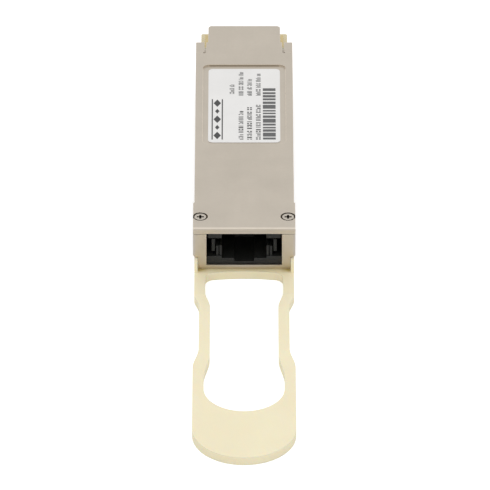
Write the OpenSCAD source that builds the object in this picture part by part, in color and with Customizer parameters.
// Pluggable four-channel optical transceiver module, about 18 mm wide, with a pull tab.
// Millimetres. +Y runs from the pull tab to the host end and +Z is up.
// The origin is the centre of the outline, at the lowest face.

/* [Body] */
// Width of the body behind the nose
body_w = 18.35; // [18.2:0.05:18.5]
// Height of the body
body_h = 8.5; // [8.4:0.05:8.6]
// Distance from the nose face to the rear shoulders
body_len = 65.5; // [64:0.5:67]
// Height of the parting line between the two shells
split_z = 7.18; // [7.1:0.02:7.24]
// Gap that shows along the parting line
seam = 0.08; // [0.04:0.02:0.12]
// Gap in front of each shoulder stub
stub_gap = 0.03; // [0.02:0.01:0.08]
// Thickness of the tray floor
floor_t = 0.8; // [0.6:0.1:1.0]
// Half-width of the space inside the tray
tray_half = 7.6; // [7.5:0.05:7.65]

/* [Nose] */
// Width across the nose cheeks
nose_w = 18.8; // [18.6:0.1:19.0]
// Length of the nose
nose_len = 8.8; // [8.6:0.1:9.0]
// Drop of the nose below the body
nose_drop = 0.4; // [0.3:0.05:0.5]
// Half-width of the nose below the cheeks
nose_low_half = 8.5; // [8.4:0.05:8.5]
// Height of the underside of the cheeks
cheek_z = 2.2; // [2.15:0.05:2.5]
// Width of the port opening
port_w = 13.9; // [13.8:0.05:14.0]
// Height of the sill of the port opening
port_sill_z = 0.47; // [0.4:0.01:0.5]
// Height of the ceiling of the port opening
port_top_z = 7.28; // [7.25:0.01:7.4]
// Radius along the front top edge of the cover
front_edge_r = 0.4; // [0.3:0.05:0.6]
// Chamfer around the port opening
port_chamfer = 0.2; // [0.1:0.05:0.35]

/* [Cover] */
// Width of the rear tongue of the cover
tongue_w = 13.68; // [13.5:0.02:13.8]
// Distance from the nose face to the end of the tongue
tongue_end = 71.5; // [70:0.5:72]
// Corner radius of the tongue
tongue_r = 0.7; // [0.4:0.1:1.0]
// Length of the shoulder stubs beside the tongue root
stub_len = 3.8; // [3.4:0.1:4.0]
// Width of the slit between the cover and a shoulder stub
slit_w = 0.4; // [0.3:0.05:0.4]
// Width of the label pocket
pocket_w = 15.6; // [15:0.1:15.8]
// Start of the label pocket, from the nose face
pocket_y = 29.1; // [28.5:0.1:29.2]
// Length of the label pocket
pocket_len = 28.3; // [27.8:0.1:28.5]
// Depth of the label pocket
pocket_d = 0.3; // [0.2:0.05:0.35]
// Width of the relief groove at the pocket's rear wall
groove_w = 0.1; // [0.1:0.05:0.35]
// Depth of the relief groove at the pocket's rear wall
groove_d = 0.1; // [0.1:0.05:0.4]

/* [Label] */
// Width of the label
label_w = 13.5; // [13:0.1:14]
// Length of the label
label_len = 26.2; // [25.5:0.1:26.5]
// Thickness of the label
label_t = 0.1; // [0.05:0.01:0.15]

/* [Fasteners] */
// Distance of each cover screw from the centre line
cover_screw_x = 8.06; // [8.0:0.02:8.1]
// Distance of the cover screws from the nose face
cover_screw_y = 4; // [3.8:0.1:4.2]
// Radius of a screw head
screw_head_r = 1.08; // [1.0:0.02:1.14]
// Radius of a screw thread
screw_r = 0.6; // [0.5:0.05:0.6]
// Gap around a cover screw's head
head_gap = 0.32; // [0.3:0.02:0.36]
// Distance of a cover screw's head below the top face
head_sink = 0.06; // [0.02:0.02:0.3]
// Depth of the counterbore for a cover screw
head_depth = 0.9; // [0.7:0.05:1]
// Distance of each rear screw from the centre line
rear_screw_x = 6; // [5.8:0.1:6]
// Distance of the rear screws from the nose face
rear_screw_y = 60; // [59.5:0.1:60.4]

/* [Circuit card] */
// Width of the card edge
card_w = 16.42; // [16.3:0.02:16.5]
// Thickness of the circuit card
card_t = 1; // [0.9:0.05:1.05]
// Height of the upper face of the card
card_top_z = 5.35; // [5.2:0.05:5.4]
// Distance from the nose face to the card edge
card_end = 73.75; // [73.5:0.05:74]
// Contacts on each face of the card
contact_count = 19; // [19:1:19]
// Distance between neighbouring contacts
contact_pitch = 0.8; // [0.8:0.01:0.8]
// Width of a contact
contact_w = 0.54; // [0.5:0.01:0.6]
// Length of a contact
contact_len = 4.2; // [4:0.1:5]

/* [Latch] */
// Travel of the latch when the tab is pulled
latch_travel = 2.6; // [2.0:0.1:2.6]
// Thickness of the slider sheet
slider_t = 0.4; // [0.3:0.05:0.4]
// Distance from the nose face to the end of the slider arms
arm_end = 36; // [35:0.5:36]
// Outer diameter of a return spring
spring_d = 1.3; // [1.1:0.05:1.3]
// Wire diameter of a return spring
spring_wire_d = 0.22; // [0.18:0.02:0.24]
// Turns in a return spring
spring_turns = 9; // [6:1:10]

/* [Pull tab] */
// Thickness of the tab
tab_t = 1.65; // [1.5:0.05:1.7]
// Half-width of the tab beside the nose
tab_root_half = 9.15; // [9.1:0.05:9.2]
// Half-width of the tab at its waist
tab_waist_half = 8.24; // [8.1:0.02:8.4]
// Half-width of the tab near its tip, and radius of the tip
tab_tip_half = 9.3; // [9.2:0.05:9.35]
// Width of each arm of the tab
tab_arm_w = 2; // [1.8:0.1:2.2]
// Distance from the nose face to the centre of the tip radius
tab_tip_y = 51.9; // [50.5:0.1:52.5]
// Distance from the nose face to the centre of the finger opening's end
tab_window_y = 39.2; // [38.5:0.1:39.5]
// Corner radius of the finger opening near the nose
tab_corner_r = 1.8; // [1.2:0.1:1.8]
// Rise of the finger opening's edge at its middle
tab_bar_arch = 0.4; // [0.2:0.1:0.5]

/* [Optics] */
// Height of the optical axis
optic_z = 4; // [3.9:0.05:4.1]
// Distance from the nose face to the face of the optical insert
insert_y = 0.5; // [0.4:0.1:0.8]
// Half-width of the central space in the insert
insert_half = 4.1; // [4.0:0.05:4.2]
// Height of the insert's sill
insert_sill_z = 2.1; // [2.0:0.05:2.15]
// Height of the insert's floor between the posts
insert_floor_z = 1.65; // [1.5:0.05:2.0]
// Half-width of the key notch
key_half = 1.82; // [1.6:0.02:2.0]
// Height of the bottom of the key notch
key_z = 0.96; // [0.9:0.02:1.2]
// Distance from the nose face to the face of the ferrule
ferrule_y = 7.6; // [7.4:0.1:7.8]
// Distance of each guide pin from the centre line
pin_x = 2.3; // [2.3:0.1:2.3]
// Radius of a guide pin
pin_r = 0.3495; // [0.349:0.0001:0.35]
// Length of guide pin that stands out of the ferrule
pin_free = 2.2; // [2.0:0.1:2.3]

/* [Hidden] */
$fn = 48;
tab_drop = 0.05;
tab_top_z = -nose_drop - tab_drop;
tab_bottom_z = tab_top_z - tab_t;
tab_tip_end = tab_tip_y + tab_tip_half;
tab_bar_y = -1.15;
ear_end_y = 4.1;
tab_rear_y = 7.5;
mid_y = (card_end - tab_tip_end) / 2;
body_half = body_w / 2;
tray_top_z = split_z - seam;
nose_half = nose_w / 2;
port_half = port_w / 2;
card_z = card_top_z - card_t;
pocket_z = body_h - pocket_d;
pocket_r = 1.2;
stub_y = body_len - stub_len;
cover_rear_half = tray_half - slit_w;
sheet_x = nose_low_half + 0.1;
channel_x = nose_low_half;
channel_z0 = 0.5;
channel_z1 = 5.5;
channel_end = 38;
pocket_latch_y0 = 36.6;
pocket_latch_y1 = 41.4;
pocket_latch_x = 8.2;
spring_y0 = 11;
spring_y1 = 19.8;
spring_x = 7.8;
spring_z = 3.3;
spring_room = 0.1;
lug_x = 7.2;
insert_end = 12.6;
hook_x0 = 5.35;
hook_x1 = 5.95;
hook_root_y = 9.1;
board_y = 22;
board_half = 7.4;
shank_r = pin_r - 0.05;
clamp_end = 16.9;
ribbon_top_z = 6.15;
lens_y0 = 27;
lens_y1 = 31.5;
chip_y = 32.4;
chip_top_z = 6.05;
pedestal_z = 6.5;
gold = "gold";
zinc = [0.76, 0.73, 0.67];
steel = [0.72, 0.71, 0.68];
beige = [0.93, 0.88, 0.74];
black = [0.08, 0.08, 0.08];

// Moves a shape from nose coordinates to the part's own origin
module placed() {
    translate([0, -mid_y, -tab_bottom_z])
        children();
}

// Box between two corners
module block(x0, x1, y0, y1, z0, z1) {
    translate([x0, y0, z0])
        cube([x1 - x0, y1 - y0, z1 - z0]);
}

// Box centred on the long axis
module slab(half, y0, y1, z0, z1) {
    block(-half, half, y0, y1, z0, z1);
}

module both_sides() {
    children();
    mirror([1, 0, 0])
        children();
}

// Plate centred on the long axis with four round corners
module round_slab(half, y0, y1, z0, z1, r) {
    slab(half - r, y0, y1, z0, z1);
    slab(half, y0 + r, y1 - r, z0, z1);
    for (x = [-half + r, half - r])
        for (y = [y0 + r, y1 - r])
            translate([x, y, z0])
                cylinder(r = r, h = z1 - z0);
}

// Profile drawn in X and Z, and run along Y
module along_y(y0, y1) {
    translate([0, y1, 0])
        rotate([90, 0, 0])
            linear_extrude(y1 - y0)
                children();
}

// ---- Shells ----

// One cheek of the nose, with a round lower corner
module cheek() {
    r = 0.6;
    along_y(0, nose_len) {
        translate([nose_low_half - 0.5, cheek_z])
            square([nose_half - nose_low_half + 0.5 - r, tray_top_z - cheek_z]);
        translate([nose_low_half - 0.5, cheek_z + r])
            square([nose_half - nose_low_half + 0.5, tray_top_z - cheek_z - r]);
        translate([nose_half - r, cheek_z + r])
            circle(r = r);
    }
}

// Strips that chamfer the sides and the sill of the port opening
module port_chamfers() {
    d = port_chamfer * sqrt(2);
    both_sides()
        translate([port_half, 0, port_sill_z - port_chamfer])
            rotate([0, 0, 45])
                translate([-d / 2, -d / 2, 0])
                    cube([d, d, split_z + 1]);
    translate([-port_half - port_chamfer, 0, port_sill_z])
        rotate([45, 0, 0])
            translate([0, -d / 2, -d / 2])
                cube([port_w + 2 * port_chamfer, d, d]);
}

// Side channel for a slider arm, with its spring pocket and its latch pocket
module side_channel() {
    out = body_half + 1;
    spring_half = spring_d / 2 + spring_room;
    block(channel_x, out, nose_len - 1, channel_end, channel_z0, channel_z1);
    block(pocket_latch_x, out, pocket_latch_y0, pocket_latch_y1, channel_z0 + 0.4, channel_z1 - 0.2);
    block(spring_x - spring_half, out, spring_y0, spring_y1 + 0.8,
        spring_z - spring_half, spring_z + spring_half);
}

module bottom_shell() {
    color(zinc)
    placed() {
        difference() {
            union() {
                slab(body_half, nose_len, body_len, 0, tray_top_z);
                slab(nose_low_half, 0, nose_len, -nose_drop, tray_top_z);
                both_sides()
                    cheek();
                both_sides()
                    block(tray_half, body_half, stub_y + stub_gap, body_len, tray_top_z - 0.1, body_h);
            }
            slab(port_half, -1, insert_end + 0.4, port_sill_z, split_z + 1);
            slab(spring_x - 1.1, insert_end, 21, floor_t, split_z + 1);
            slab(tray_half, 21, body_len - 1.2, floor_t, body_h + 1);
            slab(tray_half, body_len - 2, body_len + 1, card_z - 0.1, body_h + 1);
            port_chamfers();
            both_sides()
                side_channel();
            both_sides()
                block(7.95, 8.4, 14, stub_y - 2, tray_top_z - 0.2, split_z + 1);
            both_sides()
                slit_end();
            for (x = [-cover_screw_x, cover_screw_x])
                translate([x, cover_screw_y, 3.4])
                    cylinder(r = screw_r + 0.02, h = split_z);
            for (x = [-rear_screw_x, rear_screw_x])
                translate([x, rear_screw_y, -1])
                    cylinder(r = screw_head_r + 0.1, h = 1.9);
        }
        both_sides()
            block(board_half - 0.5, tray_half + 0.1, 30, 56, floor_t - 0.1, card_z);
        both_sides()
            block(cover_rear_half - 0.3, tray_half + 0.1, stub_y - 0.4, body_len, card_top_z + 0.1,
                tray_top_z);
        for (x = [-rear_screw_x, rear_screw_x])
            translate([x, rear_screw_y, floor_t])
                difference() {
                    cylinder(r = 1.5, h = card_z - floor_t);
                    translate([0, 0, -0.1])
                        cylinder(r = screw_head_r + 0.1, h = 0.2);
                    translate([0, 0, -0.1])
                        cylinder(r = screw_r + 0.1, h = card_z);
                }
    }
}

// Round forward end of the slit beside a shoulder stub
module slit_end() {
    translate([tray_half - slit_w / 2 + 0.1, stub_y + 0.1, tray_top_z - 0.05])
        cylinder(r = slit_w / 2 + 0.05, h = body_h);
}

// Quarter-round cut along the front top edge
module front_edge_cut() {
    difference() {
        slab(nose_half + 1, -1, front_edge_r, body_h - front_edge_r, body_h + 1);
        translate([-nose_half - 2, front_edge_r, body_h - front_edge_r])
            rotate([0, 90, 0])
                cylinder(r = front_edge_r, h = nose_w + 4);
    }
}

// Straight relief groove along the foot of the pocket's rear wall
module pocket_groove() {
    rear = pocket_y + pocket_len;
    slab(pocket_w / 2 - pocket_r, rear - groove_w, rear, pocket_z - groove_d, pocket_z + 0.1);
}

// Outline of the cover behind the nose, with the curved forward end of each slit
module cover_plate() {
    slab(nose_half, 0, nose_len, split_z, body_h);
    slab(body_half, nose_len - 1, stub_y, split_z, body_h);
    slab(cover_rear_half, stub_y - 1, body_len, split_z, body_h);
    round_slab(tongue_w / 2, stub_y - 1, tongue_end, split_z, body_h, tongue_r);
}

module top_shell() {
    color(zinc)
    placed() {
        difference() {
            union() {
                cover_plate();
                slab(5.5, chip_y - 0.4, 50, pedestal_z, split_z);
                slab(cover_rear_half - 0.4, body_len - 1.2, body_len, card_top_z + 0.1, split_z);
                both_sides()
                    block(tray_half - 0.7, tray_half - 0.15, 24, 56, 6.5, split_z);
                for (x = [-rear_screw_x, rear_screw_x])
                    translate([x, rear_screw_y, card_top_z])
                        cylinder(r = 1.3, h = split_z - card_top_z + 0.1);
            }
            slab(port_half, -1, insert_end, split_z - 1, port_top_z);
            front_edge_cut();
            round_slab(pocket_w / 2, pocket_y, pocket_y + pocket_len, pocket_z, body_h + 1, pocket_r);
            pocket_groove();
            for (x = [-cover_screw_x, cover_screw_x])
                translate([x, cover_screw_y, 0]) {
                    translate([0, 0, body_h - head_depth])
                        cylinder(r = screw_head_r + head_gap, h = 2);
                    cylinder(r = screw_r + 0.15, h = body_h);
                }
            for (x = [-rear_screw_x, rear_screw_x])
                translate([x, rear_screw_y, card_top_z - 1])
                    cylinder(r = screw_r + 0.02, h = 3.2);
            both_sides()
                slit_end();
        }
    }
}

module label() {
    mid = pocket_y + pocket_len / 2 - 0.2;
    color("white")
    placed()
        round_slab(label_w / 2, mid - label_len / 2, mid + label_len / 2, pocket_z,
            pocket_z + label_t, 0.9);
}

// Cross-recess screw standing on its thread, with its head's top face at height z
module screw(z, thread_len, head_h) {
    translate([0, 0, z])
        difference() {
            union() {
                translate([0, 0, -head_h])
                    cylinder(r = screw_head_r, h = head_h);
                translate([0, 0, -head_h - thread_len])
                    cylinder(r = screw_r, h = thread_len + 0.1);
            }
            for (a = [0, 90])
                rotate([0, 0, a])
                    translate([-0.66, -0.2, -0.55])
                        cube([1.32, 0.4, 1]);
        }
}

module cover_screws() {
    color(steel)
    placed()
        for (x = [-cover_screw_x, cover_screw_x])
            translate([x, cover_screw_y, 0])
                screw(body_h - head_sink, 3.8, head_depth - head_sink);
}

module rear_screws() {
    color(steel)
    placed()
        for (x = [-rear_screw_x, rear_screw_x])
            translate([x, rear_screw_y, 0])
                mirror([0, 0, 1])
                    screw(-0.15, 5.9, 0.7);
}

// Conductive strips in the grooves along the tray rim
module shell_gasket() {
    color([0.3, 0.3, 0.3])
    placed()
        both_sides()
            block(8.0, 8.35, 14.1, stub_y - 2.1, tray_top_z - 0.19, split_z);
}

// ---- Latch ----

// One arm of the slider: riser beside the nose, long plate, flared tip and spring lug
module slider_arm() {
    x0 = sheet_x;
    x1 = sheet_x + slider_t;
    flare = 0.12;
    plate_y = nose_len + latch_travel + 0.6;
    lug_half = 0.6;
    block(x0, x1, ear_end_y + 0.2, 6.8, tab_bottom_z + 0.8, 1.9);
    block(x0, x1, 6.7, plate_y + 0.1, 0.7, 1.9);
    difference() {
        block(x0, x1, plate_y, arm_end - 3, 0.8, channel_z1 - 0.3);
        block(x0 - 1, x1 + 1, spring_y1 + slider_t, spring_y1 + slider_t + 1.3,
            spring_z - lug_half, spring_z + lug_half);
    }
    translate([0, 0, 0.8])
        linear_extrude(channel_z1 - 1.1)
            polygon([[x0, arm_end - 3], [x1, arm_end - 3], [x1 + flare, arm_end - 1],
                [x1 + flare, arm_end], [x0 + flare, arm_end], [x0 + flare, arm_end - 1]]);
    block(lug_x, x1, spring_y1, spring_y1 + slider_t, spring_z - lug_half, spring_z + lug_half);
}

module latch_slider() {
    color(steel)
    placed() {
        slab(sheet_x + slider_t, ear_end_y + 0.2, 6.8, tab_bottom_z + 0.8,
            tab_bottom_z + 0.8 + slider_t);
        slab(7.5, 1.5, ear_end_y + 0.3, tab_bottom_z + 0.8, tab_bottom_z + 0.8 + slider_t);
        both_sides()
            slider_arm();
    }
}

// Smooth step from 0 to 1
function ease(t) = t * t * (3 - 2 * t);
// Points of one eased edge, from (xa, ya) to (xb, yb)
function eased(xa, ya, xb, yb) =
    [for (i = [0:16]) [xa + (xb - xa) * ease(i / 16), ya + (yb - ya) * i / 16]];

// Points of a wound wire's surface, ring by ring, along Y from 0 to length
function wire_ring(r, wire_r, a, y) =
    [for (j = [0:5]) let (b = 60 * j)
        [(r + wire_r * cos(b)) * cos(a), y + wire_r * sin(b), (r + wire_r * cos(b)) * sin(a)]];

module coil(length) {
    steps = 12;
    n = spring_turns * steps;
    wire_r = spring_wire_d / 2;
    r = spring_d / 2 - wire_r;
    rings = [for (i = [0:n])
        wire_ring(r, wire_r, 360 * i / steps, wire_r + (length - 2 * wire_r) * i / n)];
    points = [for (ring = rings) for (p = ring) p];
    near = [for (i = [0:n - 1]) for (j = [0:5]) [6 * i + j, 6 * i + (j + 1) % 6, 6 * i + 6 + j]];
    far = [for (i = [0:n - 1]) for (j = [0:5])
        [6 * i + (j + 1) % 6, 6 * i + 6 + (j + 1) % 6, 6 * i + 6 + j]];
    ends = [[5, 4, 3, 2, 1, 0], [for (j = [0:5]) 6 * n + j]];
    polyhedron(points = points, faces = concat(near, far, ends), convexity = 10);
}

module return_spring() {
    color(steel)
    placed()
        translate([spring_x, spring_y0 + 0.02, spring_z])
            coil(spring_y1 - spring_y0 - 0.04);
}

module latch_spring_left() {
    mirror([1, 0, 0])
        return_spring();
}

module latch_spring_right() {
    return_spring();
}

// Right half of the tab's outer outline, from the nose to the tip
function tab_outer() = concat(
    [[0, ear_end_y], [tab_root_half, ear_end_y]],
    eased(tab_root_half, -8.3, tab_waist_half, -12.3),
    eased(tab_waist_half, -26.3, tab_tip_half, -32.4),
    [[tab_tip_half, -tab_tip_y], [0, -tab_tip_y]]);

// Right half of the finger opening
function tab_inner() = concat(
    [for (i = [0:8]) [
        (tab_root_half - tab_arm_w - tab_corner_r) * i / 8,
        tab_bar_y + tab_bar_arch * (1 - pow(i / 8, 2))]],
    [for (a = [84:-6:0]) [
        tab_root_half - tab_arm_w + tab_corner_r * (cos(a) - 1),
        tab_bar_y + tab_corner_r * (sin(a) - 1)]],
    eased(tab_root_half - tab_arm_w, -7.5, tab_waist_half - tab_arm_w, -12.5),
    eased(tab_waist_half - tab_arm_w, -28.2, tab_tip_half - tab_arm_w, -35.4),
    [[tab_tip_half - tab_arm_w, -tab_window_y], [0, -tab_window_y]]);

module pull_tab() {
    color(beige)
    placed()
        difference() {
            union() {
                translate([0, 0, tab_bottom_z])
                    linear_extrude(tab_t) {
                        difference() {
                            both_sides()
                                polygon(tab_outer());
                            both_sides()
                                polygon(tab_inner());
                            translate([0, -tab_window_y])
                                circle(r = tab_tip_half - tab_arm_w, $fn = 96);
                        }
                        difference() {
                            translate([0, -tab_tip_y])
                                circle(r = tab_tip_half, $fn = 96);
                            translate([-tab_tip_half, -tab_tip_y])
                                square([2 * tab_tip_half, tab_tip_half + 1]);
                        }
                    }
                slab(nose_low_half, ear_end_y - 0.1, tab_rear_y, tab_bottom_z, tab_top_z);
                both_sides()
                    block(nose_low_half + 0.05, tab_root_half, tab_bar_y, ear_end_y,
                        tab_top_z - 0.1, cheek_z - 0.2);
            }
            slab(tab_root_half + 1, ear_end_y + 0.18, 6.82, tab_bottom_z + 0.78,
                tab_bottom_z + 0.82 + slider_t);
            slab(7.52, 1.48, ear_end_y + 0.3, tab_bottom_z + 0.78, tab_bottom_z + 0.82 + slider_t);
        }
}

// ---- Optical port ----

module mpo_receptacle() {
    top = split_z - 0.05;
    half = port_half - 0.05;
    shelf_z = 6;
    post_z = 4.24;
    color(black)
    placed() {
        difference() {
            slab(half, insert_y, insert_end, port_sill_z + 0.05, top);
            slab(insert_half, insert_y - 1, 9.4, insert_floor_z, top + 1);
            slab(half + 1, insert_y - 1, 9.4, insert_sill_z, shelf_z);
            slab(key_half, insert_y - 1, 9, key_z, insert_sill_z + 1);
            both_sides()
                block(6.7, half + 1, insert_y - 1, 4, shelf_z - 1, top + 1);
            slab(3.25, 9, insert_end + 1, optic_z - 1.3, optic_z + 1.3);
        }
        both_sides() {
            block(insert_half, insert_half + 0.42, insert_y + 0.3, 7, insert_sill_z - 0.1, post_z);
            block(insert_half + 0.3, insert_half + 0.7, insert_y + 0.8, 7, insert_sill_z - 0.1, post_z - 0.3);
            block(insert_half + 0.65, insert_half + 1.05, insert_y + 0.3, 7, insert_sill_z - 0.1,
                post_z - 0.1);
        }
    }
}

// Flexible hook on the right: a thin arm with a taller head that points inwards
module mpo_hook() {
    color(black)
    placed() {
        translate([hook_x1 - 0.3, hook_root_y, 3.2])
            cylinder(r = 0.2, h = 2);
        block(hook_x1 - 0.4, hook_x1 - 0.1, 2.2, hook_root_y, 3.2, 5.2);
        translate([0, 0, 2.9])
            linear_extrude(2.6)
                polygon([[hook_x1, 1], [hook_x1, 2.6], [hook_x0 - 0.1, 2.6], [hook_x0 - 0.1, 1.8],
                    [hook_x0 + 0.05, 1]]);
    }
}

module mpo_latch_left() {
    mirror([1, 0, 0])
        mpo_hook();
}

module mpo_latch_right() {
    mpo_hook();
}

module mt_ferrule() {
    color([0.16, 0.16, 0.17])
    placed()
        difference() {
            union() {
                slab(3.2, ferrule_y, 15.6, optic_z - 1.25, optic_z + 1.25);
                slab(3.5, insert_end + 0.1, 15.6, optic_z - 1.5, optic_z + 1.5);
            }
            for (x = [-pin_x, pin_x])
                translate([x, ferrule_y - 1, optic_z])
                    rotate([-90, 0, 0])
                        cylinder(r = shank_r + 0.002, h = 12);
            slab(1.6, 13, 16, optic_z - 0.2, optic_z + 0.2);
            slab(1.2, 10, 12, optic_z + 0.6, optic_z + 2);
        }
}

// Two steel pins, each with a thinner shank inside the ferrule
module guide_pins() {
    color(steel)
    placed()
        for (x = [-pin_x, pin_x])
            translate([x, ferrule_y, optic_z])
                rotate([-90, 0, 0]) {
                    translate([0, 0, -pin_free])
                        cylinder(r = pin_r, h = pin_free);
                    cylinder(r = shank_r, h = 9);
                }
}

module pin_clamp() {
    color(steel)
    placed()
        difference() {
            slab(3.4, 15.65, clamp_end, optic_z - 1.3, optic_z + 1.3);
            slab(1.7, 15, 18, optic_z - 0.3, optic_z + 0.3);
            for (x = [-pin_x, pin_x])
                translate([x, 15, optic_z])
                    rotate([-90, 0, 0])
                        cylinder(r = shank_r, h = 3);
        }
}

// Height of the ribbon's centre along its run from the ferrule to the lens block
function ribbon_z(y) =
    let (t = (y - clamp_end) / (board_y - 0.2 - clamp_end))
        optic_z + (ribbon_top_z - optic_z) * ease(max(0, min(1, t)));

module fibre_ribbon() {
    y0 = 13.1;
    y1 = lens_y0 - 0.02;
    n = 28;
    t = 0.14;
    ys = [for (i = [0:n]) y0 + (y1 - y0) * i / n];
    rev = [for (i = [n:-1:0]) y0 + (y1 - y0) * i / n];
    color([0.55, 0.75, 0.8])
    placed()
        rotate([90, 0, 90])
            translate([0, 0, -1.5])
                linear_extrude(3)
                    polygon(concat([for (y = ys) [y, ribbon_z(y) + t]],
                        [for (y = rev) [y, ribbon_z(y) - t]]));
}

// ---- Circuit card ----

// Moulded lens block that turns the light down onto the laser and detector arrays
module lens_block() {
    color([0.75, 0.8, 0.8])
    placed() {
        slab(2.6, lens_y0, lens_y1, card_top_z + 0.35, 6.7);
        both_sides()
            block(2.1, 2.6, lens_y0, lens_y1, card_top_z, card_top_z + 0.4);
    }
}

// Chip standing on the card
module chip(x0, x1, y0, y1, h) {
    block(x0, x1, y0, y1, card_top_z, card_top_z + h);
}

module vcsel_array() {
    color([0.45, 0.4, 0.35])
    placed()
        chip(-1.9, -0.5, 29, 29.6, 0.18);
}

module photodiode_array() {
    color([0.3, 0.35, 0.45])
    placed()
        chip(0.5, 1.9, 29, 29.6, 0.18);
}

module laser_driver() {
    color([0.12, 0.12, 0.13])
    placed()
        chip(-4.6, -0.4, chip_y, chip_y + 3.4, chip_top_z - card_top_z);
}

module receiver_amplifier() {
    color([0.12, 0.12, 0.13])
    placed()
        chip(0.4, 4.6, chip_y, chip_y + 3.4, chip_top_z - card_top_z);
}

module thermal_pad() {
    color([0.6, 0.7, 0.8])
    placed()
        slab(4.6, chip_y, chip_y + 3.4, chip_top_z, pedestal_z);
}

module microcontroller() {
    color([0.12, 0.12, 0.13])
    placed()
        chip(-2.5, 2.5, 43, 48, 0.85);
}

module power_inductors() {
    color([0.25, 0.25, 0.26])
    placed()
        for (x = [-4.6, 4.6])
            chip(x - 1, x + 1, 52, 54, 1);
}

module chip_capacitors() {
    color([0.62, 0.5, 0.36])
    placed()
        for (i = [0:5])
            for (x = [-6.2, 6.2])
                chip(x - 0.25, x + 0.25, 36 + 2.4 * i, 37 + 2.4 * i, 0.5);
}

module chip_resistors() {
    color([0.1, 0.1, 0.1])
    placed()
        for (i = [0:7])
            chip(-4.35 + 1.2 * i, -4.05 + 1.2 * i, 38.6, 39.2, 0.3);
}

module main_board() {
    color([0.1, 0.4, 0.25])
    placed()
        difference() {
            union() {
                slab(board_half, board_y, card_end - 1, card_z, card_top_z);
                round_slab(card_w / 2, body_len + 0.6, card_end, card_z, card_top_z, 0.4);
            }
            for (x = [-rear_screw_x, rear_screw_x])
                translate([x, rear_screw_y, card_z - 1])
                    cylinder(r = screw_r + 0.15, h = card_t + 2);
        }
}

// One row of contacts on a face of the card
module contact_row(z) {
    plating = 0.03;
    first = -contact_pitch * (contact_count - 1) / 2;
    color(gold)
    placed()
        for (i = [0:contact_count - 1])
            block(first + contact_pitch * i - contact_w / 2, first + contact_pitch * i + contact_w / 2,
                card_end - 0.5 - contact_len, card_end - 0.5, z, z + plating);
}

module card_contacts_top() {
    contact_row(card_top_z);
}

module card_contacts_bottom() {
    contact_row(card_z - 0.03);
}

bottom_shell();
top_shell();
label();
cover_screws();
rear_screws();
shell_gasket();
latch_slider();
latch_spring_left();
latch_spring_right();
pull_tab();
mpo_receptacle();
mpo_latch_left();
mpo_latch_right();
mt_ferrule();
guide_pins();
pin_clamp();
fibre_ribbon();
lens_block();
vcsel_array();
photodiode_array();
laser_driver();
receiver_amplifier();
thermal_pad();
microcontroller();
power_inductors();
chip_capacitors();
chip_resistors();
main_board();
card_contacts_top();
card_contacts_bottom();
